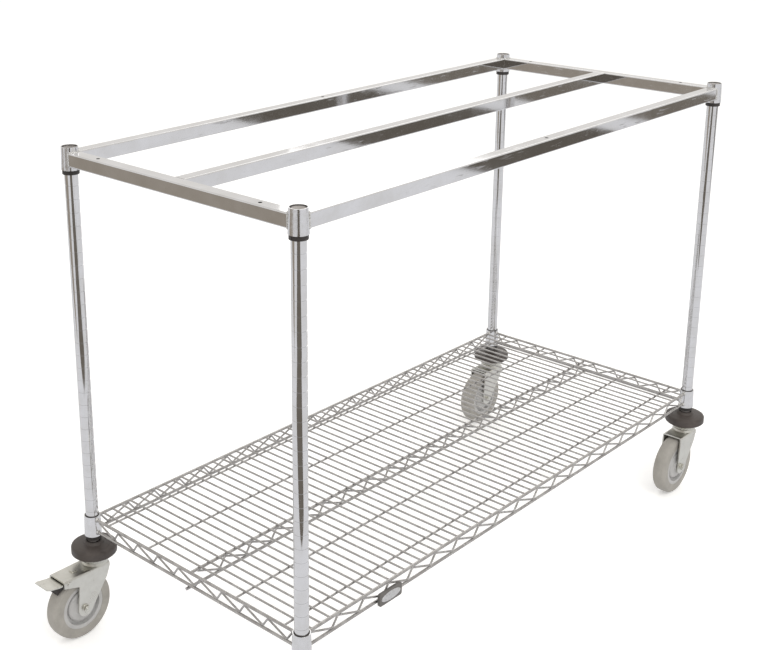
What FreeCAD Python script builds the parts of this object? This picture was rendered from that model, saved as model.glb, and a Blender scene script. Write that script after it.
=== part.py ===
import FreeCAD
import Part
import math
import os

# Rolling utility cart: four grooved posts carry a wire shelf and an open top frame of square tube,
# and stand on four swivel casters, two of them with a brake.
# Millimetres, +Z up, +X along the long side. The origin is on the floor, at the middle of the
# bounding box.

Vector = FreeCAD.Vector
X = Vector(1, 0, 0)
Y = Vector(0, 1, 0)
Z = Vector(0, 0, 1)

# Driving dimensions
inch = 25.4
post_span_x = 52.5 * inch
post_span_y = 22.5 * inch
wheel_radius = 69.0
post_radius = 0.5 * inch
post_wall = 1.2
groove_pitch = inch
groove_depth = 0.6
groove_width = 1.8
groove_count = 31
top_sleeve_groove = 30
shelf_sleeve_groove = 1
weld_overlap = 0.3

# Heights above the floor
crown_top_z = wheel_radius + 77.5
race_top_z = crown_top_z + 19.0
bumper_bottom_z = race_top_z + 1.0
bumper_top_z = bumper_bottom_z + 21.0
post_bottom_z = bumper_top_z + 2.0
shelf_collar_z = post_bottom_z + 17.0
top_collar_z = shelf_collar_z + 743.0
first_groove_z = shelf_collar_z + 3.1
post_top_z = top_collar_z + 39.0

# Collars and the tapered split sleeves inside them
collar_height = 42.5
collar_wall = 1.55
collar_radius_bottom = 17.25
collar_radius_top = 15.75
collar_taper = (collar_radius_bottom - collar_radius_top) / collar_height
sleeve_below = 8.0
sleeve_above_shelf = 0.8
sleeve_split = 0.8
ridge_clearance = 0.1

# Top frame
rail_size = inch
rail_wall = 1.6
rail_corner = 2.2
rail_middle_z = top_collar_z + 20.3
rail_hole_radius = 3.5
end_hole_inset = 82.5

# Shelf
edge_radius = 3.0
edge_top_z = shelf_collar_z + 35.0
edge_bottom_z = shelf_collar_z + 8.4
snake_radius = 1.9
snake_bend = 5.0
snake_fall = 0.78
snake_end_gap = 22.0
snake_periods_long = 19
snake_periods_short = 9
cross_radius = 2.0
cross_pitch = 22.5
cross_count = 58
support_radius = 2.0
support_spacing = 120.0
truss_overhang = 7.0
badge_offset = 0.18 * post_span_x
badge_width = 35.0
badge_thickness = 2.4
badge_face_height = 0.8

# Casters: the wheel trails behind the swivel axis, towards -X
trail = 45.0
fork_half_width = 24.0
fork_sheet = 3.0
fork_bend = 5.0
leg_tip_radius = 17.0
kingpin_radius = 6.0
running_gap = 0.06
race_radius = 28.0
bumper_radius = 45.0
bumper_hole = 14.1
tyre_width = 32.0
tyre_inner_radius = 47.0
hub_half_width = 19.0
bearing_radius = 11.0
bearing_flange = 0.8
spacer_radius = 6.0
bolt_radius = 4.0
bolt_head_width = 13.0
bolt_head_height = 5.0

# Brake of the two left casters
ear_reach = 92.0
pedal_pin_radius = 3.0
pedal_pin_x = -79.0
pedal_pin_z = crown_top_z - 8.7
pedal_reach = 129.0
pedal_sheet = 2.5
pedal_half_width = 19.5
pedal_tread_half_width = 22.0
pedal_barrel_radius = 4.6
pedal_travel_deg = 12.0
pad_half_width = 14.0
pad_gap = 0.6

# The brake pedals reach further out than the bumpers, so the posts stand off-centre in X
post_middle_x = (pedal_reach - bumper_radius) / 2


def cylinder(radius, height, base, axis=Z):
    return Part.makeCylinder(radius, height, base, axis)


def rod(start, end, radius):
    return Part.makeCylinder(radius, (end - start).Length, start, end - start)


def box(low, high):
    size = high - low
    return Part.makeBox(size.x, size.y, size.z, low)


def lathe(outline, base=Vector(0, 0, 0), axis=Z):
    """A solid of revolution: outline holds (radius, distance along the axis) pairs."""
    side = X if axis == Z else Z
    corners = [side * radius + axis * along for radius, along in outline]
    face = Part.Face(Part.makePolygon(corners + corners[:1]))
    solid = face.revolve(Vector(0, 0, 0), axis, 360)
    solid.translate(base)
    return solid


def plate_xz(corners, half_width):
    """A flat outline of (x, z) pairs, extruded from -half_width to +half_width in Y."""
    points = [Vector(x, -half_width, z) for x, z in corners]
    return Part.Face(Part.makePolygon(points + points[:1])).extrude(Y * (2 * half_width))


def rounded_bar(low, high, direction, radius):
    """A box whose long edges along one direction are rounded."""
    solid = box(low, high)
    long_edges = [edge for edge in solid.Edges if abs(edge.tangentAt(0).dot(direction)) > 0.99]
    return solid.makeFillet(radius, long_edges)


def moved(shape, offset):
    copy = shape.copy()
    copy.translate(offset)
    return copy


def post_positions():
    places = {}
    for depth, side_y in (("front", -1), ("back", 1)):
        for width, side_x in (("left", -1), ("right", 1)):
            x = post_middle_x + side_x * post_span_x / 2
            places[depth + "_" + width] = Vector(x, side_y * post_span_y / 2, 0)
    return places


# Posts, caps, collars and sleeves

def make_post():
    inner = post_radius - post_wall
    bottom = post_radius - groove_depth
    outline = [(inner, post_bottom_z), (post_radius, post_bottom_z)]
    for number in range(groove_count):
        middle = first_groove_z + number * groove_pitch
        low = middle - groove_width / 2
        high = middle + groove_width / 2
        outline += [(post_radius, low), (bottom, low + 0.3)]
        outline += [(bottom, high - 0.3), (post_radius, high)]
    outline += [(post_radius, post_top_z), (inner, post_top_z)]
    return lathe(outline)


def make_post_cap():
    plug = post_radius - post_wall - 0.05
    rim = post_radius
    outline = [(0, post_top_z - 12), (plug, post_top_z - 12), (plug, post_top_z), (rim, post_top_z)]
    outline += [(rim, post_top_z + 1.0), (rim - 1.0, post_top_z + 1.8), (0, post_top_z + 1.2)]
    return lathe(outline)


def make_collar(bottom_z):
    inner_bottom = collar_radius_bottom - collar_wall
    inner_top = collar_radius_top - collar_wall
    top_z = bottom_z + collar_height
    outline = [(inner_bottom, bottom_z), (collar_radius_bottom, bottom_z)]
    outline += [(collar_radius_top, top_z), (inner_top, top_z)]
    return lathe(outline)


def make_sleeve_halves(collar_z, top_z, ridge_z):
    def outer(z):
        return collar_radius_bottom - collar_wall - collar_taper * (z - collar_z)

    bottom_z = collar_z - sleeve_below
    ridge_half = groove_width / 2 - ridge_clearance
    ridge_radius = post_radius - groove_depth + ridge_clearance
    outline = [(post_radius, bottom_z), (outer(collar_z), bottom_z), (outer(collar_z), collar_z)]
    outline += [(outer(top_z), top_z), (post_radius, top_z)]
    outline += [(post_radius, ridge_z + ridge_half), (ridge_radius, ridge_z + ridge_half - 0.3)]
    outline += [(ridge_radius, ridge_z - ridge_half + 0.3), (post_radius, ridge_z - ridge_half)]
    sleeve = lathe(outline)
    slit_low = Vector(-25, -sleeve_split / 2, bottom_z - 1)
    slit_high = Vector(25, sleeve_split / 2, top_z + 1)
    return sleeve.cut(box(slit_low, slit_high))


# Top frame

def rail_with_ends(start, end, hole_points):
    """A square tube between two points on its axis, with holes straight down through both walls."""
    direction = (end - start).normalize()
    across = Vector(direction.y, direction.x, 0)
    half = rail_size / 2
    outer_low = start - across * half - Z * half
    outer_high = end + across * half + Z * half
    outer = rounded_bar(outer_low, outer_high, direction, rail_corner)
    inner_half = half - rail_wall
    inner_low = start - direction - across * inner_half - Z * inner_half
    inner_high = end + direction + across * inner_half + Z * inner_half
    tube = outer.cut(box(inner_low, inner_high))
    for point in hole_points:
        tube = tube.cut(cylinder(rail_hole_radius, 2 * rail_size, point - Z * rail_size))
    return tube


def make_rails(posts):
    lift = Z * rail_middle_z
    middle_y = post_span_y / 2
    half_x = post_span_x / 2
    centre = X * post_middle_x + lift
    cone_bottom = collar_radius_bottom - weld_overlap
    cone_top = collar_radius_top - weld_overlap
    copes = []
    for place in posts.values():
        copes.append(Part.makeCone(cone_bottom, cone_top, collar_height, place + Z * top_collar_z))

    def coped(tube):
        for cope in copes:
            tube = tube.cut(cope)
        return tube

    rails = {}
    for name, side in (("front", -1), ("back", 1)):
        middle = centre + Y * (side * middle_y)
        reach = X * (half_x - rail_size / 2)
        rails["rail_" + name] = coped(rail_with_ends(middle - reach, middle + reach, [middle]))
    for name, side in (("left", -1), ("right", 1)):
        middle = centre + X * (side * half_x)
        reach = Y * (middle_y - rail_size / 2)
        inset = Y * (middle_y - end_hole_inset)
        holes = [middle - inset, middle + inset]
        rails["rail_" + name] = coped(rail_with_ends(middle - reach, middle + reach, holes))
    reach = X * (half_x - rail_size / 2)
    rails["rail_centre"] = rail_with_ends(centre - reach, centre + reach, [])
    return rails


# Wire shelf

def make_edge_wires(start, end):
    direction = (end - start).normalize()
    wires = []
    for height in (edge_top_z, edge_bottom_z):
        radius = collar_radius_bottom - collar_taper * (height - shelf_collar_z) - weld_overlap
        first = start + direction * radius + Z * height
        last = end - direction * radius + Z * height
        wires.append(rod(first, last, edge_radius))
    return Part.makeCompound(wires)


def make_snake(start, end, periods, low_z, high_z):
    """A wire bent to and fro between two heights: each long leg falls, each short one rises."""
    direction = (end - start).normalize()
    run = (end - start).Length - 2 * snake_end_gap
    period = run / periods
    corners = [Vector(snake_end_gap, 0, high_z)]
    for number in range(periods):
        first = snake_end_gap + number * period
        corners.append(Vector(first + snake_fall * period, 0, low_z))
        corners.append(Vector(first + period, 0, high_z))
    edges = []
    last = corners[0]
    for before, corner, after in zip(corners, corners[1:], corners[2:]):
        towards = (before - corner).normalize()
        away = (after - corner).normalize()
        opening = towards.getAngle(away)
        setback = snake_bend / math.tan(opening / 2)
        bisector = (towards + away).normalize()
        middle = corner + bisector * (snake_bend / math.sin(opening / 2) - snake_bend)
        arc_start = corner + towards * setback
        arc_end = corner + away * setback
        edges.append(Part.makeLine(last, arc_start))
        edges.append(Part.Arc(arc_start, middle, arc_end).toShape())
        last = arc_end
    edges.append(Part.makeLine(last, corners[-1]))
    tangent = edges[0].tangentAt(0)
    section = Part.Wire([Part.makeCircle(snake_radius, corners[0], tangent)])
    wire = Part.Wire(edges).makePipeShell([section], True, False)
    wire.rotate(Vector(0, 0, 0), Z, math.degrees(math.atan2(direction.y, direction.x)))
    wire.translate(start)
    return wire


def snake_heights(low_wire_z, low_radius, high_wire_z, high_radius):
    """Corner heights that let the bends just bite into the wire below and the wire above."""
    corner_rise = 0.8
    low = low_wire_z + low_radius + snake_radius - weld_overlap - corner_rise
    high = high_wire_z - high_radius - snake_radius + weld_overlap + corner_rise
    return low, high


def make_cross_wires():
    reach = post_span_y / 2 - edge_radius + weld_overlap
    height = edge_top_z + edge_radius - cross_radius
    wires = []
    for number in range(cross_count):
        x = post_middle_x + (number - (cross_count - 1) / 2) * cross_pitch
        wires.append(rod(Vector(x, -reach, height), Vector(x, reach, height), cross_radius))
    return Part.makeCompound(wires)


def support_height(radius):
    return edge_top_z + edge_radius - 2 * cross_radius - radius + weld_overlap


def centre_bottom_height():
    return edge_bottom_z - 2 * edge_radius + weld_overlap


def make_support_wires():
    reach = post_span_x / 2 - edge_radius + weld_overlap
    wires = []
    for step in (-2, -1, 1, 2):
        middle = Vector(post_middle_x, step * support_spacing, support_height(support_radius))
        wires.append(rod(middle - X * reach, middle + X * reach, support_radius))
    middle = Vector(post_middle_x, 0, support_height(edge_radius))
    wires.append(rod(middle - X * reach, middle + X * reach, edge_radius))
    middle = Vector(post_middle_x, 0, centre_bottom_height())
    overhang = X * (post_span_x / 2 + truss_overhang)
    wires.append(rod(middle - overhang, middle + overhang, edge_radius))
    return Part.makeCompound(wires)


def make_badge():
    """A blank oval-faced badge with a clip round the top wire and one round the bottom wire."""
    x = post_middle_x - post_span_x / 2 + badge_offset
    wire_y = -post_span_y / 2
    half = badge_width / 2
    wall = 1.5
    clearance = 0.15
    clip_outer = edge_radius + wall
    back_y = wire_y - clip_outer
    front_y = back_y - badge_thickness
    low = Vector(x - half, front_y, edge_bottom_z - edge_radius)
    high = Vector(x + half, back_y + 0.5, edge_top_z + edge_radius)
    badge = rounded_bar(low, high, Y, 6.0)
    middle_z = (edge_bottom_z + edge_top_z) / 2
    oval = Part.Ellipse(Vector(0, 0, 0), half - 4, (high.z - low.z) / 2 - 5).toShape()
    face = Part.Face(Part.Wire([oval])).extrude(Z * badge_face_height)
    face.rotate(Vector(0, 0, 0), X, 90)
    face.translate(Vector(x, front_y, middle_z))
    badge = badge.fuse(face)
    for height, mouth in ((edge_top_z, -1), (edge_bottom_z, 1)):
        base = Vector(x - 8, wire_y, height)
        clip = cylinder(clip_outer, 16, base, X)
        badge = badge.fuse(clip)
        badge = badge.cut(cylinder(edge_radius + clearance, 60, base - X * 22, X))
        slot_low = Vector(x - 9, wire_y + 1.2, height - clip_outer)
        slot_high = Vector(x + 9, wire_y + clip_outer + 1, height + clip_outer)
        badge = badge.cut(box(slot_low, slot_high))
    return badge.removeSplitter()


# Casters, built with the swivel axis at x = 0, y = 0

def make_swivel_mount():
    """The fixed half of the swivel: kingpin, upper race, neck, and the stem in the post's foot."""
    stem = post_radius - post_wall - 0.1
    head_top = crown_top_z - fork_sheet - 0.4
    outline = [(0, head_top - 3), (8, head_top - 3), (9, head_top - 2), (9, head_top)]
    outline += [(kingpin_radius, head_top), (kingpin_radius, crown_top_z + 6.4)]
    outline += [(22, crown_top_z + 6.4), (23.5, crown_top_z + 8)]
    outline += [(23.5, race_top_z - 7), (race_radius - 1, race_top_z - 7)]
    outline += [(race_radius, race_top_z - 5.5), (race_radius, race_top_z - 3)]
    outline += [(race_radius - 2.5, race_top_z - 0.5), (20, race_top_z), (14, race_top_z)]
    outline += [(14, bumper_top_z + 1), (13.5, post_bottom_z), (stem, post_bottom_z)]
    outline += [(stem, post_bottom_z + 44), (stem - 3, post_bottom_z + 48), (0, post_bottom_z + 48)]
    return lathe(outline)


def make_bumper():
    rim = bumper_radius
    outline = [(bumper_hole, bumper_bottom_z), (rim - 3, bumper_bottom_z)]
    outline += [(rim, bumper_bottom_z + 3), (rim, bumper_top_z - 6.5)]
    outline += [(rim - 1, bumper_top_z - 4), (rim - 4, bumper_top_z - 2.2)]
    outline += [(32, bumper_top_z - 0.2), (20, bumper_top_z + 1), (17.5, bumper_top_z + 5.5)]
    outline += [(16.5, bumper_top_z + 6), (bumper_hole, bumper_top_z + 6)]
    return lathe(outline)


def leg_outline(with_brake):
    """The fork seen from the side: crown, slanting front, round tip at the axle, steep back."""
    back_x = -56.0
    front_x = 18.0
    knee_x = 10.0
    knee_z = crown_top_z - 29
    above = crown_top_z + 5
    reach_x = knee_x + trail
    reach_z = knee_z - wheel_radius
    distance = math.hypot(reach_x, reach_z)
    turn = math.atan2(reach_z, reach_x) - math.acos(leg_tip_radius / distance)
    touch_x = leg_tip_radius * math.cos(turn) - trail
    touch_z = leg_tip_radius * math.sin(turn) + wheel_radius
    outline = [(front_x, above), (front_x, crown_top_z - 8), (knee_x, knee_z)]
    outline += [(touch_x, touch_z), (-trail, wheel_radius), (-trail - leg_tip_radius, wheel_radius)]
    if with_brake:
        outline += [(back_x - 1, crown_top_z - 25), (-ear_reach, crown_top_z - 14)]
        outline += [(-ear_reach, above)]
    else:
        outline += [(back_x, crown_top_z - 8), (back_x, above)]
    return outline


def make_fork(with_brake):
    front = 22.0
    back = -ear_reach - 2
    low = wheel_radius - leg_tip_radius - 5
    inner = fork_half_width - fork_sheet
    outside_low = Vector(back, -fork_half_width, low - 20)
    outside_high = Vector(front, fork_half_width, crown_top_z)
    outside = rounded_bar(outside_low, outside_high, X, fork_bend)
    inside_low = Vector(back - 1, -inner, low - 30)
    inside_high = Vector(front + 1, inner, crown_top_z - fork_sheet)
    inside = rounded_bar(inside_low, inside_high, X, fork_bend - fork_sheet)
    channel = outside.cut(inside)
    side = plate_xz(leg_outline(with_brake), 2 * fork_half_width)
    tip_base = Vector(-trail, -2 * fork_half_width, wheel_radius)
    side = side.fuse(cylinder(leg_tip_radius, 4 * fork_half_width, tip_base, Y))
    fork = channel.common(side)
    race = [(13, crown_top_z), (race_radius - 1.5, crown_top_z), (race_radius - 3, crown_top_z + 5)]
    race += [(24, crown_top_z + 6), (13, crown_top_z + 6)]
    fork = fork.fuse(lathe(race))
    fork = fork.cut(cylinder(kingpin_radius + running_gap, 30, Vector(0, 0, crown_top_z - 15)))
    fork = fork.cut(cylinder(bolt_radius, 4 * fork_half_width, tip_base, Y))
    if with_brake:
        pin_base = Vector(pedal_pin_x, -2 * fork_half_width, pedal_pin_z)
        fork = fork.cut(cylinder(pedal_pin_radius, 4 * fork_half_width, pin_base, Y))
        tab_low = Vector(-60, -6, crown_top_z - 0.5)
        tab_high = Vector(-48, 6, crown_top_z + 2.2)
        fork = fork.fuse(rounded_bar(tab_low, tab_high, Z, 2.0))
    return fork.removeSplitter()


def make_hexagon(width, height, base, axis):
    radius = width / math.sqrt(3)
    corners = []
    for number in range(7):
        angle = math.radians(60 * number)
        corners.append(base + Vector(radius * math.cos(angle), 0, radius * math.sin(angle)))
    return Part.Face(Part.makePolygon(corners)).extrude(axis * height)


def make_axle():
    """Bolt with a hexagon head at the back, spacer tube between the legs, and a nut at the front."""
    centre = Vector(-trail, 0, wheel_radius)
    inner = fork_half_width - fork_sheet
    thread = fork_half_width + bolt_head_height + 2
    shank = cylinder(bolt_radius, thread + fork_half_width, centre - Y * thread, Y)
    head = make_hexagon(bolt_head_width, bolt_head_height, centre + Y * fork_half_width, Y)
    bolt = shank.fuse(head)
    nut = make_hexagon(bolt_head_width, bolt_head_height + 1, centre - Y * fork_half_width, -Y)
    nut = nut.cut(cylinder(bolt_radius, 20, centre - Y * (thread + 5), Y))
    spacer = cylinder(spacer_radius, 2 * inner, centre - Y * inner, Y)
    spacer = spacer.cut(cylinder(bolt_radius, 2 * inner, centre - Y * inner, Y))
    return Part.makeCompound([bolt, nut, spacer])


def mirrored_lathe(half_outline):
    """A wheel part turned about the axle, from the half outline at y >= 0."""
    other_half = [(radius, -along) for radius, along in reversed(half_outline)]
    return lathe(half_outline + other_half, Vector(-trail, 0, wheel_radius), Y)


def make_hub():
    outline = [(bearing_radius, hub_half_width), (16, hub_half_width), (17.5, hub_half_width - 3)]
    outline += [(29, 13.5), (32, 11), (33, 6.5), (38.6, 6.5), (39.4, 14.6), (tyre_inner_radius, 14.8)]
    return mirrored_lathe(outline)


def make_tyre():
    half = tyre_width / 2
    outline = [(tyre_inner_radius, half - 0.6), (49, half), (wheel_radius - 7, half - 0.4)]
    outline += [(wheel_radius - 3.2, half - 2), (wheel_radius - 1, half - 5)]
    outline += [(wheel_radius - 0.2, half - 9), (wheel_radius, half - 12)]
    return mirrored_lathe(outline)


def make_bearings():
    bore = spacer_radius + running_gap
    inner_end = 11.0
    flange = bearing_radius + 2
    rings = []
    for side in (-1, 1):
        shoulder = side * hub_half_width
        outer_end = side * (hub_half_width + bearing_flange)
        outline = [(bore, side * inner_end), (bearing_radius, side * inner_end)]
        outline += [(bearing_radius, shoulder), (flange, shoulder)]
        outline += [(flange, outer_end), (bore, outer_end)]
        rings.append(lathe(outline, Vector(-trail, 0, wheel_radius), Y))
    return Part.makeCompound(rings)


def make_brake_pin():
    centre = Vector(pedal_pin_x, 0, pedal_pin_z)
    half = fork_half_width + 0.1
    pin = cylinder(pedal_pin_radius, 2 * half, centre - Y * half, Y)
    for side in (-1, 1):
        pin = pin.fuse(cylinder(pedal_pin_radius + 1.8, 1.4, centre + Y * (side * half), Y * side))
    return pin


def make_pedal():
    """A bent foot lever round the brake pin. Its tip is the caster's furthest point from the post."""
    centre = Vector(pedal_pin_x, 0, pedal_pin_z)
    barrel = cylinder(pedal_barrel_radius, 2 * pedal_half_width, centre - Y * pedal_half_width, Y)
    root_z = pedal_pin_z + 1.5
    bend_x = -102.0
    bend_z = root_z + 0.5
    tip_z = crown_top_z
    half_sheet = pedal_sheet / 2
    outline = [(pedal_pin_x, root_z + half_sheet), (bend_x, bend_z + half_sheet)]
    outline += [(-pedal_reach, tip_z), (-pedal_reach, tip_z - pedal_sheet)]
    outline += [(bend_x, bend_z - half_sheet), (pedal_pin_x, root_z - half_sheet)]
    plate = plate_xz(outline, pedal_half_width)
    tread_low = Vector(-pedal_reach, -pedal_tread_half_width, tip_z - 30)
    tread_high = Vector(-ear_reach - 2, pedal_tread_half_width, tip_z + 10)
    wide = plate_xz(outline, pedal_tread_half_width).common(box(tread_low, tread_high))
    tip_corners = [edge for edge in wide.Edges if abs(edge.BoundBox.XMax + pedal_reach) < 0.01
                   and edge.BoundBox.ZLength > 1]
    pedal = barrel.fuse(plate).fuse(wide.makeFillet(8.0, tip_corners))
    pedal = pedal.cut(cylinder(pedal_pin_radius + running_gap, 60, centre - Y * 30, Y))
    return pedal.removeSplitter()


def make_brake_pad(pedal):
    """A rubber block under the pedal. Its lower face fits the tyre when the pedal is down."""
    centre = Vector(pedal_pin_x, 0, pedal_pin_z)
    block_low = Vector(-102, -pad_half_width, pedal_pin_z - 34)
    block_high = Vector(-88, pad_half_width, pedal_pin_z + 1)
    block = box(block_low, block_high)
    pressed_block = block.copy()
    pressed_block.rotate(centre, -Y, pedal_travel_deg)
    tread_radius = wheel_radius + pad_gap
    tread = cylinder(tread_radius, 80, Vector(-trail, -40, wheel_radius), Y)
    pad = pressed_block.cut(tread)
    pad.rotate(centre, Y, pedal_travel_deg)
    pad = pad.cut(pedal)
    return max(pad.Solids, key=lambda solid: solid.Volume)


def build():
    posts = post_positions()
    nodes = {}
    places = list(posts.values())

    post = make_post()
    for name, place in posts.items():
        nodes["post_" + name] = moved(post, place)
    cap = make_post_cap()
    nodes["post_caps"] = Part.makeCompound([moved(cap, place) for place in places])
    collar = make_collar(top_collar_z)
    nodes["top_collars"] = Part.makeCompound([moved(collar, place) for place in places])
    collar = make_collar(shelf_collar_z)
    nodes["shelf_collars"] = Part.makeCompound([moved(collar, place) for place in places])
    top_ridge_z = first_groove_z + top_sleeve_groove * groove_pitch
    halves = make_sleeve_halves(top_collar_z, top_collar_z + collar_height - 1.5, top_ridge_z)
    sleeves = [moved(solid, place) for place in places for solid in halves.Solids]
    nodes["top_sleeves"] = Part.makeCompound(sleeves)
    shelf_ridge_z = first_groove_z + shelf_sleeve_groove * groove_pitch
    sleeve_top_z = shelf_collar_z + collar_height + sleeve_above_shelf
    halves = make_sleeve_halves(shelf_collar_z, sleeve_top_z, shelf_ridge_z)
    sleeves = [moved(solid, place) for place in places for solid in halves.Solids]
    nodes["shelf_sleeves"] = Part.makeCompound(sleeves)

    nodes.update(make_rails(posts))

    # The sides are walked anticlockwise, so that every snake leans the same way seen from outside
    low_z, high_z = snake_heights(edge_bottom_z, edge_radius, edge_top_z, edge_radius)
    sides = (("front", "front_left", "front_right", snake_periods_long),
             ("right", "front_right", "back_right", snake_periods_short),
             ("back", "back_right", "back_left", snake_periods_long),
             ("left", "back_left", "front_left", snake_periods_short))
    for name, first, last, periods in sides:
        nodes["edge_wires_" + name] = make_edge_wires(posts[first], posts[last])
        nodes["snake_" + name] = make_snake(posts[first], posts[last], periods, low_z, high_z)
    support_z = support_height(edge_radius)
    low_z, high_z = snake_heights(centre_bottom_height(), edge_radius, support_z, edge_radius)
    middle_left = (posts["front_left"] + posts["back_left"]) * 0.5
    middle_right = (posts["front_right"] + posts["back_right"]) * 0.5
    nodes["snake_centre"] = make_snake(middle_left, middle_right, snake_periods_long, low_z, high_z)
    nodes["cross_wires"] = make_cross_wires()
    nodes["support_wires"] = make_support_wires()
    nodes["badge"] = make_badge()

    parts = {"bumper": make_bumper(), "swivel_mount": make_swivel_mount(), "axle": make_axle(),
             "hub": make_hub(), "tyre": make_tyre(), "bearings": make_bearings()}
    plain_fork = make_fork(False)
    brake_fork = make_fork(True)
    brake_pin = make_brake_pin()
    pedal = make_pedal()
    pad = make_brake_pad(pedal)
    for name, place in posts.items():
        for part, shape in parts.items():
            nodes[part + "_" + name] = moved(shape, place)
        if name.endswith("left"):
            nodes["fork_" + name] = moved(brake_fork, place)
            nodes["brake_pin_" + name] = moved(brake_pin, place)
            nodes["brake_pedal_" + name] = moved(pedal, place)
            nodes["brake_pad_" + name] = moved(pad, place)
        else:
            nodes["fork_" + name] = moved(plain_fork, place)
    return nodes


os.makedirs("parts", exist_ok=True)
for node_name, node_shape in build().items():
    node_shape.exportStep("parts/" + node_name + ".step")
    print(node_name, len(node_shape.Solids), "solids", round(node_shape.Volume / 1000, 1), "cm3")
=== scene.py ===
import math

import bmesh
import bpy
from mathutils import Matrix, Vector


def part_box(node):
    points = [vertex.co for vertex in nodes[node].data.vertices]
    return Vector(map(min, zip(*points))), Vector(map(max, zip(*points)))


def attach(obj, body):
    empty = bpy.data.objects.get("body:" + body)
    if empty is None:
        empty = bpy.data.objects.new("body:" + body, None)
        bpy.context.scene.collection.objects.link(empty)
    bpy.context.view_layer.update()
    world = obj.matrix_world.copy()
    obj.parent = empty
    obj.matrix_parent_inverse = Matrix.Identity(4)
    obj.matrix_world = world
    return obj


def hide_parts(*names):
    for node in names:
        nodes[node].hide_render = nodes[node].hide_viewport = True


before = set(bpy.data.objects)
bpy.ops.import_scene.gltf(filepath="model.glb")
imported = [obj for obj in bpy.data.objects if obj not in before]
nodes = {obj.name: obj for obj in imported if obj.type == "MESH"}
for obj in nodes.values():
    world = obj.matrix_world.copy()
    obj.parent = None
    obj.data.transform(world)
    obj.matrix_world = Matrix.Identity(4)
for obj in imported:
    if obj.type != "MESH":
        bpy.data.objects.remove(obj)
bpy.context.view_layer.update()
corners = ("front_left", "front_right", "back_left", "back_right")
print("frame loaded:", len(nodes), "nodes")


# camera, floor and light

cameraSet = {
    "place": (-1.9594, -1.5805, 1.5353),
    "azimuth": -46.88,     # degrees round the cart, 0 looks along +Y
    "lookDown": 17.34,
    "roll": -0.13,
    "lens": 61.05,
    "shift": (0.078, -0.125),
}


def makeCamera(values):
    azimuth = math.radians(values["azimuth"])
    down = math.radians(values["lookDown"])
    roll = math.radians(values["roll"])
    back = Vector((math.sin(azimuth) * math.cos(down), -math.cos(azimuth) * math.cos(down), math.sin(down)))
    right = (-back).cross(Vector((0, 0, 1))).normalized()
    up = right.cross(-back)
    turnedRight = right * math.cos(roll) + up * math.sin(roll)
    turnedUp = up * math.cos(roll) - right * math.sin(roll)
    camera = bpy.data.objects.new("camera", bpy.data.cameras.new("camera"))
    bpy.context.scene.collection.objects.link(camera)
    turn = Matrix((turnedRight, turnedUp, back)).transposed().to_4x4()
    camera.matrix_world = Matrix.Translation(values["place"]) @ turn
    camera.data.lens = values["lens"]
    camera.data.shift_x, camera.data.shift_y = values["shift"]
    bpy.context.scene.camera = camera


studio = {
    "floorSize": 60.0,
    "floorColour": (0.94, 0.94, 0.935),
    "floorGlow": 0.30,      # lifts the paper towards white, as a well lit sweep looks
    "floorMirrored": (0.80, 0.80, 0.82),
    "skyColour": (1.0, 0.975, 0.945),
    "skyForEye": 1.15,
    "skyForSurfaces": 0.80,
    "skyMirroredLow": 0.85,
    "skyMirroredHigh": 0.70,
    "keyPower": 75.0,
    "keySize": 3.0,
    "keyPlace": (-1.5, -3.0, 4.2),
    "fillPower": 25.0,
    "fillPlace": (3.2, 1.8, 3.4),
    # glow colour of the cards, seen only as painted reflections in the chrome
    "cardColour": (0.166, 0.148, 0.127),
}

# glowing cards that only the chrome sees, painting dark reflections into it: middle, size, lean from flat and
# heading in degrees, shade
cards = {
    "cardFrontLeftPost": ((-2.62, -2.09, 0.020), (2.4, 2.1), 0.0, 44.0, 0.95),
    "cardBackLeftPost": ((-2.14, -1.75, 0.022), (2.8, 1.7), 0.0, 54.5, 1.05),
    "cardBehindCamera": ((-2.75, -2.45, 1.3), (1.1, 2.6), 90.0, -47.0, 0.9),
    "cardLeftFloor": ((-3.3, 2.5, 0.024), (2.4, 3.8), 0.0, 0.0, 2.1),
    "cardRightFloor": ((3.30, -3.2, 0.026), (1.15, 2.6), 0.0, 0.0, 0.8),
    "cardRightStrip": ((4.65, -3.3, 0.028), (0.9, 2.2), 0.0, 0.0, 1.2),
    "cardFarLeft": ((-5.5, -0.8, 0.9), (4.5, 1.8), 90.0, -90.0, 1.8),
}


def glowMaterial(name, colour):
    material = bpy.data.materials.new(name)
    material.use_nodes = True
    tree = material.node_tree
    tree.nodes.remove(tree.nodes["Principled BSDF"])
    glow = tree.nodes.new("ShaderNodeEmission")
    glow.inputs["Color"].default_value = (*colour, 1)
    tree.links.new(glow.outputs["Emission"], tree.nodes["Material Output"].inputs["Surface"])
    return material


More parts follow.
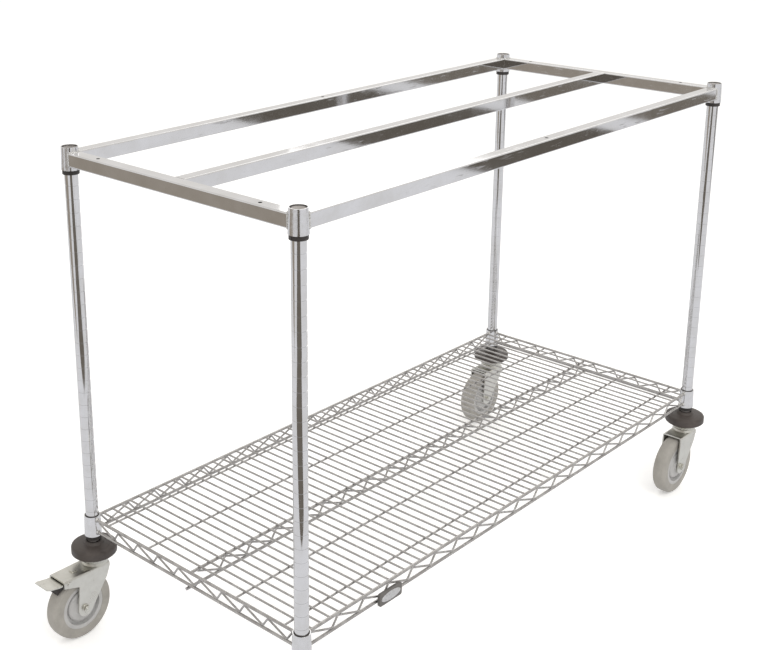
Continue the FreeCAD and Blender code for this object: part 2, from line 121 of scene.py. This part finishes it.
def paperMaterial(values):
    # the paper takes shadows, looks nearly white, and is a quieter grey where the chrome mirrors it
    material = bpy.data.materials.new("floorPaper")
    material.use_nodes = True
    tree = material.node_tree
    tree.nodes.remove(tree.nodes["Principled BSDF"])
    join = tree.links.new
    paper = tree.nodes.new("ShaderNodeBsdfDiffuse")
    paper.inputs["Color"].default_value = (*values["floorColour"], 1)
    glow = tree.nodes.new("ShaderNodeEmission")
    mirrored = tree.nodes.new("ShaderNodeEmission")
    mirrored.inputs["Color"].default_value = (*values["floorMirrored"], 1)
    ray = tree.nodes.new("ShaderNodeLightPath")
    lift = tree.nodes.new("ShaderNodeMapRange")
    lift.inputs["To Max"].default_value = values["floorGlow"]
    both = tree.nodes.new("ShaderNodeAddShader")
    choose = tree.nodes.new("ShaderNodeMixShader")
    join(ray.outputs["Is Camera Ray"], lift.inputs["Value"])
    join(lift.outputs["Result"], glow.inputs["Strength"])
    join(paper.outputs["BSDF"], both.inputs[0])
    join(glow.outputs["Emission"], both.inputs[1])
    join(ray.outputs["Is Glossy Ray"], choose.inputs["Fac"])
    join(both.outputs["Shader"], choose.inputs[1])
    join(mirrored.outputs["Emission"], choose.inputs[2])
    join(choose.outputs["Shader"], tree.nodes["Material Output"].inputs["Surface"])
    return material


def makePlane(name, middle, size, turn, material):
    half = Vector((size[0] / 2, size[1] / 2))
    mesh = bpy.data.meshes.new(name)
    flat = [(-half.x, -half.y, 0), (half.x, -half.y, 0), (half.x, half.y, 0), (-half.x, half.y, 0)]
    mesh.from_pydata([turn @ Vector(point) + Vector(middle) for point in flat], [], [(0, 1, 2, 3)])
    mesh.materials.append(material)
    plane = bpy.data.objects.new(name, mesh)
    bpy.context.scene.collection.objects.link(plane)
    return plane


def makeSky(values):
    # white behind the cart; in the chrome it is bright near the horizon and dim overhead
    world = bpy.data.worlds.new("studioWorld")
    world.use_nodes = True
    tree = world.node_tree
    join = tree.links.new
    tree.nodes["Background"].inputs["Color"].default_value = (*values["skyColour"], 1)
    direction = tree.nodes.new("ShaderNodeTexCoord")
    split = tree.nodes.new("ShaderNodeSeparateXYZ")
    mirrored = tree.nodes.new("ShaderNodeMapRange")
    plain = tree.nodes.new("ShaderNodeMapRange")
    ray = tree.nodes.new("ShaderNodeLightPath")
    choose = tree.nodes.new("ShaderNodeMix")
    for socket, number in (("From Min", 0.35), ("From Max", 0.85), ("To Min", values["skyMirroredLow"]),
                           ("To Max", values["skyMirroredHigh"])):
        mirrored.inputs[socket].default_value = number
    plain.inputs["To Min"].default_value = values["skyForSurfaces"]
    plain.inputs["To Max"].default_value = values["skyForEye"]
    join(direction.outputs["Generated"], split.inputs["Vector"])
    join(split.outputs["Z"], mirrored.inputs["Value"])
    join(ray.outputs["Is Camera Ray"], plain.inputs["Value"])
    join(ray.outputs["Is Glossy Ray"], choose.inputs["Factor"])
    join(plain.outputs["Result"], choose.inputs["A"])
    join(mirrored.outputs["Result"], choose.inputs["B"])
    join(choose.outputs["Result"], tree.nodes["Background"].inputs["Strength"])
    bpy.context.scene.world = world
    bpy.context.scene.view_settings.view_transform = "Standard"


def makeStudio(values):
    size = (values["floorSize"], values["floorSize"])
    makePlane("floor", (0, 0, 0), size, Matrix.Identity(3), paperMaterial(values))
    for name, (middle, size, lean, heading, shade) in cards.items():
        colour = [channel * shade for channel in values["cardColour"]]
        turn = Matrix.Rotation(math.radians(heading), 3, "Z") @ Matrix.Rotation(math.radians(lean), 3, "X")
        card = makePlane(name, middle, size, turn, glowMaterial(name + "Cloth", colour))
        # the cards glow with a set colour and are hidden from the camera, diffuse light and shadows, so they
        # only paint reflections into the chrome
        card.visible_camera = False
        card.visible_diffuse = False
        card.visible_shadow = False
    makeSky(values)
    for name, place, power in (("keyLight", values["keyPlace"], values["keyPower"]),
                               ("fillLight", values["fillPlace"], values["fillPower"])):
        light = bpy.data.lights.new(name, "AREA")
        light.energy = power
        light.size = values["keySize"]
        holder = bpy.data.objects.new(name, light)
        holder.location = place
        holder.rotation_mode = "QUATERNION"
        holder.rotation_quaternion = (Vector(place) - Vector((0, 0, 0.5))).to_track_quat("Z", "Y")
        bpy.context.scene.collection.objects.link(holder)


makeCamera(cameraSet)
makeStudio(studio)
print("camera and studio ready")


# finishes

class NodeBoard:
    def __init__(self, name):
        self.material = bpy.data.materials.new(name)
        self.material.use_nodes = True
        self.tree = self.material.node_tree
        self.shader = self.tree.nodes["Principled BSDF"]
        self.place = self.tree.nodes.new("ShaderNodeTexCoord").outputs["Object"]

    def join(self, output, target):
        self.tree.links.new(output, target)

    def stretched(self, scale):
        mapping = self.tree.nodes.new("ShaderNodeMapping")
        mapping.inputs["Scale"].default_value = scale
        self.join(self.place, mapping.inputs["Vector"])
        return mapping.outputs["Vector"]

    def noise(self, scale, detail=3.0, roughness=0.5, stretch=None):
        node = self.tree.nodes.new("ShaderNodeTexNoise")
        node.inputs["Scale"].default_value = scale
        node.inputs["Detail"].default_value = detail
        node.inputs["Roughness"].default_value = roughness
        self.join(self.stretched(stretch) if stretch else self.place, node.inputs["Vector"])
        return node.outputs["Fac"]

    def cells(self, scale):
        node = self.tree.nodes.new("ShaderNodeTexVoronoi")
        node.inputs["Scale"].default_value = scale
        self.join(self.place, node.inputs["Vector"])
        return node.outputs["Distance"]

    def spread(self, value, low, high, fromLow=0.35, fromHigh=0.65):
        node = self.tree.nodes.new("ShaderNodeMapRange")
        limits = (("From Min", fromLow), ("From Max", fromHigh), ("To Min", low), ("To Max", high))
        for socket, number in limits:
            node.inputs[socket].default_value = number
        self.join(value, node.inputs["Value"])
        return node.outputs["Result"]

    def combine(self, first, second, how="ADD"):
        node = self.tree.nodes.new("ShaderNodeMath")
        node.operation = how
        node.use_clamp = how != "ADD"
        self.join(first, node.inputs[0])
        self.join(second, node.inputs[1])
        return node.outputs["Value"]

    def between(self, amount, dark, light):
        node = self.tree.nodes.new("ShaderNodeMix")
        node.data_type = "RGBA"
        node.inputs["A"].default_value = (*dark, 1)
        node.inputs["B"].default_value = (*light, 1)
        self.join(amount, node.inputs["Factor"])
        return node.outputs["Result"]

    def bump(self, height, strength, distance):
        node = self.tree.nodes.new("ShaderNodeBump")
        node.inputs["Strength"].default_value = strength
        node.inputs["Distance"].default_value = distance
        self.join(height, node.inputs["Height"])
        self.join(node.outputs["Normal"], self.shader.inputs["Normal"])


def metalFinish(name, values):
    # plated metal: cloudy plating, fine drawn lines and a few scratches
    board = NodeBoard(name)
    board.shader.inputs["Metallic"].default_value = 1.0
    clouds = board.noise(values["cloudScale"], 4.0, 0.6)
    lines = board.noise(values["lineScale"], 2.0, 0.5, values["lineStretch"])
    scratches = board.spread(board.noise(240.0, 1.0, 0.4, values["scratchStretch"]), 0.0, 1.0, 0.66, 0.72)
    colour = board.between(board.spread(clouds, 0.0, 1.0), values["dark"], values["light"])
    board.join(colour, board.shader.inputs["Base Color"])
    smooth, dull = values["roughness"]
    rough = board.spread(clouds, smooth, dull)
    marked = board.combine(rough, board.spread(scratches, 0.0, values["scratchDulling"], 0.0, 1.0))
    board.join(marked, board.shader.inputs["Roughness"])
    height = board.combine(lines, board.spread(scratches, 0.0, -0.6, 0.0, 1.0))
    board.bump(height, values["bumpStrength"], values["bumpDepth"])
    return board.material


def mouldedFinish(name, values):
    # plastic or rubber: fine moulded grain, uneven colour and slightly patchy gloss
    board = NodeBoard(name)
    clouds = board.noise(values["cloudScale"], 4.0, 0.65)
    grain = board.noise(values["grainScale"], 3.0, 0.7)
    specks = board.spread(board.cells(values["speckScale"]), 1.0, 0.0, 0.05, 0.2)
    colour = board.between(board.spread(clouds, 0.0, 1.0, 0.3, 0.7), values["dark"], values["light"])
    board.join(colour, board.shader.inputs["Base Color"])
    smooth, dull = values["roughness"]
    glossySpecks = board.spread(specks, 0.0, -values["speckGloss"], 0.0, 1.0)
    rough = board.combine(board.spread(clouds, smooth, dull), glossySpecks)
    board.join(rough, board.shader.inputs["Roughness"])
    board.shader.inputs["Specular IOR Level"].default_value = values["specular"]
    height = board.combine(grain, board.spread(specks, 0.0, 0.3, 0.0, 1.0))
    board.bump(height, values["bumpStrength"], values["bumpDepth"])
    return board.material


upAndDown = (1.0, 1.0, 0.02)
alongX = (0.02, 1.0, 1.0)
alongY = (1.0, 0.02, 1.0)

postChrome = {
    "dark": (0.71, 0.705, 0.70), "light": (0.775, 0.775, 0.785), "roughness": (0.045, 0.085),
    "cloudScale": 22.0, "lineScale": 900.0, "lineStretch": upAndDown, "scratchStretch": (1.0, 1.0, 0.12),
    "scratchDulling": 0.08, "bumpStrength": 0.07, "bumpDepth": 0.00006,
}
railChrome = dict(postChrome, roughness=(0.040, 0.065), lineStretch=alongX, scratchStretch=(0.1, 1.0, 1.0),
                  bumpStrength=0.045)
endRailChrome = dict(railChrome, lineStretch=alongY, scratchStretch=(1.0, 0.1, 1.0))
collarChrome = dict(postChrome, cloudScale=70.0, roughness=(0.08, 0.20), lineStretch=(1.0, 1.0, 0.6),
                    bumpStrength=0.25, bumpDepth=0.0001)
wireChrome = {
    "dark": (0.39, 0.378, 0.365), "light": (0.54, 0.528, 0.515), "roughness": (0.18, 0.32),
    "cloudScale": 45.0, "lineScale": 500.0, "lineStretch": (1.0, 0.1, 1.0), "scratchStretch": (0.3, 0.3, 1.0),
    "scratchDulling": 0.1, "bumpStrength": 0.3, "bumpDepth": 0.00008,
}
zincSteel = {
    "dark": (0.635, 0.625, 0.575), "light": (0.73, 0.725, 0.675), "roughness": (0.26, 0.38),
    "cloudScale": 40.0, "lineScale": 420.0, "lineStretch": (1.0, 1.0, 0.35),
    "scratchStretch": (0.4, 1.0, 0.8),
    "scratchDulling": 0.12, "bumpStrength": 0.15, "bumpDepth": 0.00010,
}
weldMetal = dict(zincSteel, dark=(0.55, 0.545, 0.53), light=(0.74, 0.735, 0.72), roughness=(0.22, 0.45),
                 cloudScale=300.0, bumpStrength=0.5, bumpDepth=0.0002)
capMetal = dict(zincSteel, dark=(0.22, 0.20, 0.185), light=(0.33, 0.31, 0.29), roughness=(0.3, 0.45))
sleevePlastic = {
    "dark": (0.018, 0.015, 0.014), "light": (0.040, 0.034, 0.031), "roughness": (0.35, 0.52), "specular": 0.5,
    "cloudScale": 60.0, "grainScale": 1800.0, "speckScale": 900.0, "speckGloss": 0.15,
    "bumpStrength": 0.3, "bumpDepth": 0.00006,
}
bumperRubber = dict(sleevePlastic, dark=(0.045, 0.036, 0.032), light=(0.084, 0.070, 0.062),
                    roughness=(0.38, 0.58), cloudScale=40.0, bumpStrength=0.4, bumpDepth=0.00012)
padRubber = dict(sleevePlastic, roughness=(0.6, 0.8), bumpStrength=0.5, bumpDepth=0.0002)
tyreRubber = {
    "dark": (0.325, 0.310, 0.282), "light": (0.420, 0.402, 0.368), "roughness": (0.42, 0.60), "specular": 0.4,
    "cloudScale": 35.0, "grainScale": 1500.0, "speckScale": 700.0, "speckGloss": 0.08,
    "bumpStrength": 0.35, "bumpDepth": 0.0001,
}
hubPlastic = dict(tyreRubber, dark=(0.455, 0.452, 0.446), light=(0.535, 0.532, 0.526), roughness=(0.34, 0.50),
                  specular=0.5, bumpStrength=0.22)
badgePlastic = dict(sleevePlastic, dark=(0.120, 0.113, 0.106), light=(0.170, 0.162, 0.154),
                    roughness=(0.40, 0.55))
ovalPlate = dict(zincSteel, dark=(0.60, 0.595, 0.585), light=(0.74, 0.735, 0.725), roughness=(0.25, 0.4),
                 cloudScale=200.0)


finishes = {
    "postChrome": metalFinish("postChrome", postChrome),
    "railChrome": metalFinish("railChrome", railChrome),
    "endRailChrome": metalFinish("endRailChrome", endRailChrome),
    "collarChrome": metalFinish("collarChrome", collarChrome),
    "wireChrome": metalFinish("wireChrome", wireChrome),
    "zincSteel": metalFinish("zincSteel", zincSteel),
    "weldMetal": metalFinish("weldMetal", weldMetal),
    "capMetal": metalFinish("capMetal", capMetal),
    "ovalPlate": metalFinish("ovalPlate", ovalPlate),
    "sleevePlastic": mouldedFinish("sleevePlastic", sleevePlastic),
    "bumperRubber": mouldedFinish("bumperRubber", bumperRubber),
    "padRubber": mouldedFinish("padRubber", padRubber),
    "tyreRubber": mouldedFinish("tyreRubber", tyreRubber),
    "hubPlastic": mouldedFinish("hubPlastic", hubPlastic),
    "badgePlastic": mouldedFinish("badgePlastic", badgePlastic),
}

# the start of a node's name says its finish; the first match counts
finishOfNode = (
    ("post_caps", "capMetal"), ("post_", "postChrome"), ("top_collars", "collarChrome"),
    ("shelf_collars", "collarChrome"), ("top_sleeves", "sleevePlastic"), ("shelf_sleeves", "sleevePlastic"),
    ("rail_left", "endRailChrome"), ("rail_right", "endRailChrome"), ("rail_", "railChrome"),
    ("edge_wires", "wireChrome"), ("snake_", "wireChrome"), ("cross_wires", "wireChrome"),
    ("support_wires", "wireChrome"), ("badge", "badgePlastic"), ("bumper_", "bumperRubber"),
    ("tyre_", "tyreRubber"), ("hub_", "hubPlastic"), ("brake_pad_", "padRubber"), ("", "zincSteel"),
)


def dressNodes():
    for name, node in nodes.items():
        finish = next(value for start, value in finishOfNode if name.startswith(start))
        for materialSlot in node.material_slots:
            materialSlot.material = finishes[finish]


dressNodes()
print("finishes on every node")


# helpers for the added pieces

def addPiece(name, mesh, body, finish):
    for polygon in mesh.polygons:
        polygon.use_smooth = True
    mesh.materials.clear()
    mesh.materials.append(finishes[finish])
    piece = bpy.data.objects.new(name, mesh)
    bpy.context.scene.collection.objects.link(piece)
    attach(piece, body)
    return piece


def postAxis(corner):
    low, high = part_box("post_" + corner)
    return (low + high) / 2


def scatterTree(name, finish):
    # one small rounded bead on every point of the mesh, pressed flat by the Flatness input
    tree = bpy.data.node_groups.new(name, "GeometryNodeTree")
    tree.interface.new_socket("Geometry", in_out="INPUT", socket_type="NodeSocketGeometry")
    for socketName in ("Bead Radius", "Flatness"):
        tree.interface.new_socket(socketName, in_out="INPUT", socket_type="NodeSocketFloat")
    tree.interface.new_socket("Geometry", in_out="OUTPUT", socket_type="NodeSocketGeometry")
    make = tree.nodes.new
    join = tree.links.new
    entry = make("NodeGroupInput")
    bead = make("GeometryNodeMeshIcoSphere")
    bead.inputs["Subdivisions"].default_value = 2
    size = make("ShaderNodeCombineXYZ")
    size.inputs["X"].default_value = 1.0
    size.inputs["Y"].default_value = 1.0
    spin = make("FunctionNodeRandomValue")
    spin.data_type = "FLOAT_VECTOR"
    spin.inputs["Max"].default_value = (0.0, 0.0, math.tau)
    spin.inputs["Seed"].default_value = 7
    place = make("GeometryNodeInstanceOnPoints")
    realize = make("GeometryNodeRealizeInstances")
    paint = make("GeometryNodeSetMaterial")
    paint.inputs["Material"].default_value = finishes[finish]
    leave = make("NodeGroupOutput")
    join(entry.outputs["Bead Radius"], bead.inputs["Radius"])
    join(entry.outputs["Flatness"], size.inputs["Z"])
    join(entry.outputs["Geometry"], place.inputs["Points"])
    join(bead.outputs["Mesh"], place.inputs["Instance"])
    join(spin.outputs["Value"], place.inputs["Rotation"])
    join(size.outputs["Vector"], place.inputs["Scale"])
    join(place.outputs["Instances"], realize.inputs["Geometry"])
    join(realize.outputs["Geometry"], paint.inputs["Geometry"])
    join(paint.outputs["Geometry"], leave.inputs["Geometry"])
    return tree


def scatterBeads(name, points, values, body, finish):
    seedMesh = bpy.data.meshes.new(name + "Points")
    seedMesh.from_pydata(points, [], [])
    holder = bpy.data.objects.new(name + "Points", seedMesh)
    bpy.context.scene.collection.objects.link(holder)
    tree = scatterTree(name + "Tree", finish)
    modifier = holder.modifiers.new("beads", "NODES")
    modifier.node_group = tree
    identifiers = {item.name: item.identifier for item in tree.interface.items_tree if item.in_out == "INPUT"}
    modifier[identifiers["Bead Radius"]] = values["beadRadius"]
    modifier[identifiers["Flatness"]] = values["flatness"]
    bpy.context.view_layer.update()
    solid = bpy.data.meshes.new_from_object(holder.evaluated_get(bpy.context.evaluated_depsgraph_get()))
    solid.name = name
    bpy.data.objects.remove(holder)
    return addPiece(name, solid, body, finish)


def turnedMesh(name, outline, steps=64):
    # a closed ring turned about Z, from (radius, height) pairs
    rows = len(outline)
    points = []
    faces = []
    for step in range(steps):
        angle = math.tau * step / steps
        points += [(r * math.cos(angle), r * math.sin(angle), z) for r, z in outline]
        following = (step + 1) % steps
        for row in range(rows):
            nextRow = (row + 1) % rows
            faces.append((step * rows + row, following * rows + row,
                          following * rows + nextRow, step * rows + nextRow))
    mesh = bpy.data.meshes.new(name)
    mesh.from_pydata(points, [], faces)
    shape = bmesh.new()
    shape.from_mesh(mesh)
    bmesh.ops.recalc_face_normals(shape, faces=shape.faces)
    shape.to_mesh(mesh)
    shape.free()
    return mesh


# spot welds of the wire shelf

shelfWelds = {
    "beadRadius": 0.0021,
    "flatness": 0.62,
    "crossWires": 58,
    "supportRadius": 0.002,
    "pressedIn": 0.0003,
    "supportSteps": (-1.0, -0.5, 0.0, 0.5, 1.0),     # the supports, as shares of the outermost one's reach
}


def makeShelfWelds(values):
    crossLow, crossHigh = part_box("cross_wires")
    wireRadius = (crossHigh.z - crossLow.z) / 2
    wireZ = crossHigh.z - wireRadius
    pitch = (crossHigh.x - crossLow.x - 2 * wireRadius) / (values["crossWires"] - 1)
    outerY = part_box("support_wires")[1].y - values["supportRadius"]
    points = []
    for number in range(values["crossWires"]):
        x = crossLow.x + wireRadius + number * pitch
        for y in (crossLow.y, crossHigh.y):
            points.append((x, y, wireZ))
        for step in values["supportSteps"]:
            points.append((x, step * outerY, wireZ - wireRadius - values["pressedIn"]))
    scatterBeads("shelfWelds", points, values, "cart", "wireChrome")


makeShelfWelds(shelfWelds)
print("shelf welds made")


# weld beads where rails and wires meet the collars

cornerWelds = {
    "beadRadius": 0.0019,
    "flatness": 0.85,
    "step": 0.0021,
    "collarRadius": 0.0164,
    "standOff": 0.0006,
    "railCorner": 0.002,
}


def squareLoop(middle, across, half, corner, step):
    # points round a square that stands across a rail
    points = []
    sides = max(4, int(2 * (half - corner) / step))
    upright = Vector((0, 0, 1))
    for number in range(4):
        angle = number * math.pi / 2
        first = across * math.cos(angle) + upright * math.sin(angle)
        second = upright * math.cos(angle) - across * math.sin(angle)
        for index in range(sides + 1):
            offset = -(half - corner) + 2 * (half - corner) * index / sides
            points.append(middle + first * half + second * offset)
    return points


def makeCornerWelds(values):
    railLow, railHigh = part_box("rail_front")
    half = (railHigh.z - railLow.z) / 2
    railZ = (railHigh.z + railLow.z) / 2
    points = []
    for corner in corners:
        axis = postAxis(corner)
        inwardX = Vector((1 if corner.endswith("left") else -1, 0, 0))
        inwardY = Vector((0, 1 if corner.startswith("front") else -1, 0))
        for along, across in ((inwardX, inwardY), (inwardY, inwardX)):
            # the collar is round, so the bead leans back at the rail's two sides
            middle = Vector((axis.x, axis.y, railZ))
            for point in squareLoop(middle, across, half, values["railCorner"], values["step"]):
                side = (point - middle).dot(across)
                reach = math.sqrt(max(values["collarRadius"] ** 2 - side ** 2, 0.0))
                points.append(point + along * (reach + values["standOff"]))
    scatterBeads("cornerWelds", points, values, "cart", "weldMetal")


makeCornerWelds(cornerWelds)

wireWelds = {
    "beadRadius": 0.0026,
    "flatness": 0.8,
    "ring": 0.0029,
    "around": 9,
    "wireRadius": 0.003,
    "reachAtTop": 0.01565,       # from the post's axis to the welds; the collar is narrower at the top
    "reachAtBottom": 0.01665,
}


def makeWireWelds(values):
    low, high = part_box("edge_wires_front")
    reaches = {high.z - values["wireRadius"]: values["reachAtTop"],
               low.z + values["wireRadius"]: values["reachAtBottom"]}
    points = []
    for corner in corners:
        axis = postAxis(corner)
        inwardX = Vector((1 if corner.endswith("left") else -1, 0, 0))
        inwardY = Vector((0, 1 if corner.startswith("front") else -1, 0))
        for height, reach in reaches.items():
            for along, across in ((inwardX, inwardY), (inwardY, inwardX)):
                middle = Vector((axis.x, axis.y, height)) + along * reach
                for number in range(values["around"]):
                    angle = math.tau * number / values["around"]
                    offset = across * math.cos(angle) + Vector((0, 0, 1)) * math.sin(angle)
                    points.append(middle + offset * values["ring"])
    scatterBeads("wireWelds", points, values, "cart", "weldMetal")


makeWireWelds(wireWelds)
print("corner welds made")


# bearing balls in the swivels

swivelBalls = {"beadRadius": 0.0026, "flatness": 1.0, "count": 22, "ringRadius": 0.0249, "aboveFloor": 0.1552}


def makeSwivelBalls(values):
    for corner in corners:
        axis = postAxis(corner)
        points = []
        for number in range(values["count"]):
            angle = math.tau * number / values["count"]
            offset = Vector((math.cos(angle), math.sin(angle), 0)) * values["ringRadius"]
            points.append(Vector((axis.x, axis.y, values["aboveFloor"])) + offset)
        ballName = "swivelBalls_" + corner
        scatterBeads(ballName, points, values, "cart", "zincSteel")


# a pressed steel ring hides most of the balls' ring, as grease and shadow do
swivelSeal = {"inner": 0.0238, "outer": 0.0263, "low": 0.1529, "high": 0.1583}


def makeSwivelSeals(values):
    outline = [(values["inner"], values["low"]), (values["outer"], values["low"]),
               (values["outer"], values["high"]), (values["inner"], values["high"])]
    for corner in corners:
        axis = postAxis(corner)
        mesh = turnedMesh("swivelSeal_" + corner, outline)
        mesh.transform(Matrix.Translation((axis.x, axis.y, 0)))
        addPiece("swivelSeal_" + corner, mesh, "cart", "zincSteel")


makeSwivelBalls(swivelBalls)
makeSwivelSeals(swivelSeal)
print("swivel rings made")


# washers under the axle nuts

axleWasher = {"hole": 0.0041, "radius": 0.0088, "thickness": 0.0012, "edge": 0.0003, "legFace": 0.024}


def makeWashers(values):
    half = values["thickness"] / 2
    edge = values["edge"]
    outline = [(values["hole"], -half), (values["radius"] - edge, -half), (values["radius"], -half + edge),
               (values["radius"], half - edge), (values["radius"] - edge, half), (values["hole"], half)]
    for corner in corners:
        hubLow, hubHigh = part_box("hub_" + corner)
        centre = (hubLow + hubHigh) / 2
        for label, side in (("front", -1), ("back", 1)):
            name = "washer_" + label + "_" + corner
            mesh = turnedMesh(name, outline, 48)
            mesh.transform(Matrix.Rotation(math.radians(90), 4, "X"))
            middleY = centre.y + side * (values["legFace"] + half)
            mesh.transform(Matrix.Translation((centre.x, middleY, centre.z)))
            addPiece(name, mesh, "caster_" + corner, "zincSteel")


makeWashers(axleWasher)
print("washers made")


# badge: a wide moulding clipped on the lower edge wire, with a blank oval plate

badge = {
    "middleX": -0.4025,
    "width": 0.062,
    "height": 0.0255,
    "above": 0.0040,         # how far its middle stands above the lower wire
    "back": 0.0031,          # from the wire's middle forwards
    "thickness": 0.0062,
    "corner": 0.0045,
    "bevel": 0.0008,
    "cornerSteps": 10,
    "wireRadius": 0.003,
    "clipWall": 0.0014,
    "clipWidth": 0.040,
    "clipSteps": 20,
    "clipGap": 0.0001,
    "clipFrom": -60,         # degrees round the wire
    "clipSweep": -235,
    "ovalWidth": 0.052,
    "ovalHeight": 0.0175,
    "ovalThickness": 0.0005,
    "ovalRim": 0.0011,
    "ovalSteps": 96,
}


def lowerWire(values):
    low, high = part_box("edge_wires_front")
    return (low.y + high.y) / 2, low.z + values["wireRadius"]


def roundedOutline(values, inset):
    # corner points of the moulding seen from the front, anticlockwise
    points = []
    halfWidth = values["width"] / 2 - values["corner"]
    halfHeight = values["height"] / 2 - values["corner"]
    radius = values["corner"] - inset
    for number, (side, up) in enumerate(((1, 1), (-1, 1), (-1, -1), (1, -1))):
        for step in range(values["cornerSteps"] + 1):
            angle = math.pi / 2 * (number + step / values["cornerSteps"])
            points.append((side * halfWidth + radius * math.cos(angle),
                           up * halfHeight + radius * math.sin(angle)))
    return points


def ovalOutline(values, inset):
    points = []
    for number in range(values["ovalSteps"]):
        angle = math.tau * number / values["ovalSteps"]
        points.append(((values["ovalWidth"] / 2 - inset) * math.cos(angle),
                       (values["ovalHeight"] / 2 - inset) * math.sin(angle)))
    return points


def stackedMesh(name, layers, middle):
    # closed shell through outlines that stand one in front of the other: (outline, distance forwards)
    shape = bmesh.new()
    rings = []
    for outline, forwards in layers:
        rings.append([shape.verts.new((middle.x + x, middle.y - forwards, middle.z + z)) for x, z in outline])
    for inner, outer in zip(rings, rings[1:]):
        for number in range(len(inner)):
            following = (number + 1) % len(inner)
            shape.faces.new((inner[number], inner[following], outer[following], outer[number]))
    shape.faces.new(rings[-1])
    shape.faces.new(list(reversed(rings[0])))
    bmesh.ops.recalc_face_normals(shape, faces=shape.faces)
    mesh = bpy.data.meshes.new(name)
    shape.to_mesh(mesh)
    shape.free()
    return mesh


def clipMesh(values, wireY, wireZ):
    # C-shaped clip round the lower wire, open behind
    inner = values["wireRadius"] + values["clipGap"]
    outer = inner + values["clipWall"]
    outline = []
    angles = []
    for step in range(values["clipSteps"] + 1):
        angles.append(math.radians(values["clipFrom"] + values["clipSweep"] * step / values["clipSteps"]))
    for radius, turns in ((outer, angles), (inner, list(reversed(angles)))):
        outline += [(wireY + radius * math.cos(angle), wireZ + radius * math.sin(angle)) for angle in turns]
    shape = bmesh.new()
    ends = []
    for side in (-0.5, 0.5):
        x = values["middleX"] + side * values["clipWidth"]
        ends.append([shape.verts.new((x, y, z)) for y, z in outline])
    for number in range(len(outline)):
        following = (number + 1) % len(outline)
        shape.faces.new((ends[0][number], ends[0][following], ends[1][following], ends[1][number]))
    last = len(outline) - 1
    for step in range(values["clipSteps"]):
        for end in ends:
            shape.faces.new((end[step], end[step + 1], end[last - step - 1], end[last - step]))
    bmesh.ops.recalc_face_normals(shape, faces=shape.faces)
    mesh = bpy.data.meshes.new("badgeClip")
    shape.to_mesh(mesh)
    shape.free()
    return mesh


def makeBadge(values):
    wireY, wireZ = lowerWire(values)
    middle = Vector((values["middleX"], wireY - values["back"], wireZ + values["above"]))
    bevel = values["bevel"]
    front = values["thickness"]
    layers = [(roundedOutline(values, bevel), 0.0), (roundedOutline(values, 0.0), bevel),
              (roundedOutline(values, 0.0), front - bevel),
              (roundedOutline(values, bevel * 0.3), front - bevel * 0.3),
              (roundedOutline(values, bevel), front)]
    bodyMesh = stackedMesh("badgeBody", layers, middle)
    body = addPiece("badgeBody", bodyMesh, "cart", "badgePlastic")
    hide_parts("badge")
    addPiece("badgeClip", clipMesh(values, wireY, wireZ), "cart", "badgePlastic")
    rise = values["ovalThickness"]
    rim = values["ovalRim"]
    plate = [(ovalOutline(values, 0.0), front - rise), (ovalOutline(values, 0.0), front + rise * 0.8),
             (ovalOutline(values, rim * 0.3), front + rise), (ovalOutline(values, rim), front + rise * 0.5)]
    addPiece("badgeOval", stackedMesh("badgeOval", plate, middle), "cart", "ovalPlate")


makeBadge(badge)
print("badge made")
